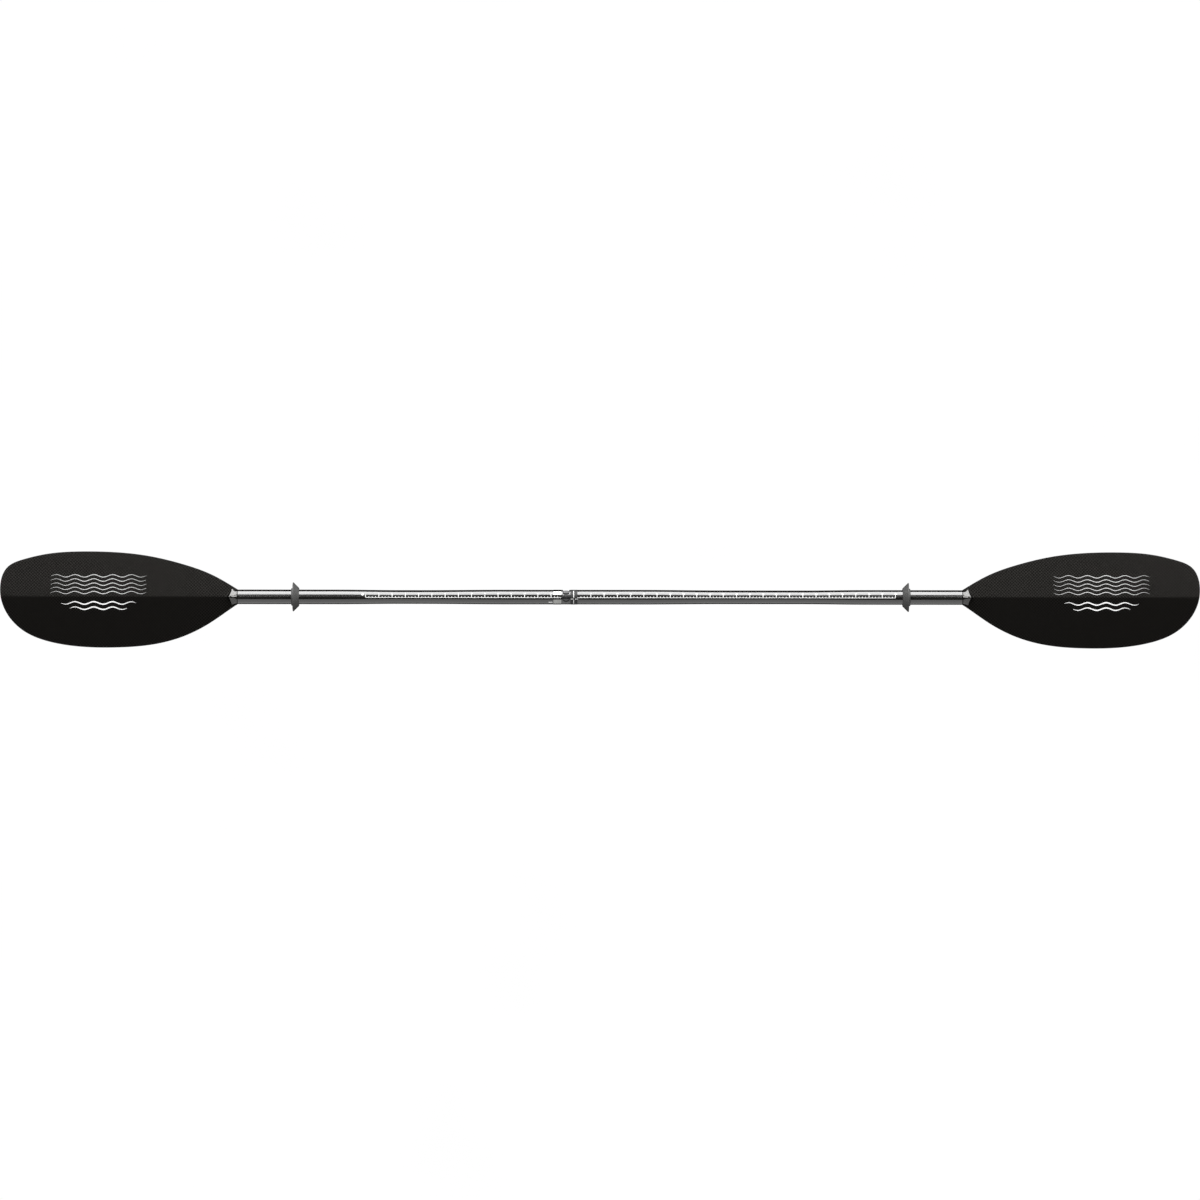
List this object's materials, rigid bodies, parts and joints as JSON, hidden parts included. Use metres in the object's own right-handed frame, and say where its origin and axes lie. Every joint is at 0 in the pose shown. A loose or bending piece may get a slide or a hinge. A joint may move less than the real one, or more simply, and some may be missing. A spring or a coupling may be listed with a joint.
{
  "type": "kayak paddle",
  "caption": "Double-ended kayak paddle with asymmetric dihedral blades, a two-piece oval-grip shaft, a push-button ferrule and cupped drip rings.",
  "frame": {"origin": "on the shaft axis, midway between the blade tips", "axes": "+X along the shaft towards the right blade, +Y towards the shorter blade edge, +Z out of the power faces"},
  "size_m": [2.3, 0.1848, 0.056],
  "materials": {
    "carbon_shaft": "glossy clear-coated carbon tube with a printed white inch scale",
    "blade_carbon": "satin moulded carbon, fine plain weave",
    "foam": "closed-cell foam",
    "polished_ring": "polished metal",
    "ferrule": "moulded fibre-reinforced plastic",
    "button": "satin moulded plastic",
    "spring": "bare spring steel strip",
    "seal": "smooth black rubber",
    "cap": "moulded plastic",
    "drip_rubber": "matte dark grey rubber"
  },
  "bodies": {
    "left_half": {"left_shaft": "carbon_shaft", "left_end_ring": "polished_ring", "male_ferrule": "ferrule", "snap_spring": "spring", "spigot_end_plug": "cap", "left_inner_plug": "foam", "left_blade_plug": "foam", "left_blade_power_skin": "blade_carbon", "left_blade_back_skin": "blade_carbon", "left_blade_core": "foam"},
    "seal": {"seal_ring": "seal"},
    "right_half": {"right_shaft": "carbon_shaft", "right_end_ring": "ferrule", "female_ferrule": "ferrule", "right_inner_plug": "foam", "right_blade_plug": "foam", "right_blade_power_skin": "blade_carbon", "right_blade_back_skin": "blade_carbon", "right_blade_core": "foam"},
    "button": {"snap_button": "button"},
    "left_ring": {"left_drip_ring": "drip_rubber"},
    "right_ring": {"right_drip_ring": "drip_rubber"}
  },
  "joints": [
    {"name": "feather", "type": "hinge", "parent": "left_half", "child": "seal", "pos_m": [0.008, 0, 0], "axis": [1, 0, 0], "range_deg": [-60, 60]},
    {"name": "pull_apart", "type": "slide", "parent": "seal", "child": "right_half", "axis": [1, 0, 0], "range_m": [0, 0.11]},
    {"name": "button_press", "type": "slide", "parent": "left_half", "child": "button", "axis": [0, 0.7071, 0.7071], "range_m": [-0.0036, 0], "stiffness_N_per_m": 1500, "springref_m": 0.003, "deforming": ["snap_spring"]},
    {"name": "left_ring_slide", "type": "slide", "parent": "left_half", "child": "left_ring", "axis": [-1, 0, 0], "range_m": [-0.06, 0.09]},
    {"name": "right_ring_slide", "type": "slide", "parent": "right_half", "child": "right_ring", "axis": [1, 0, 0], "range_m": [-0.06, 0.09]}
  ]
}
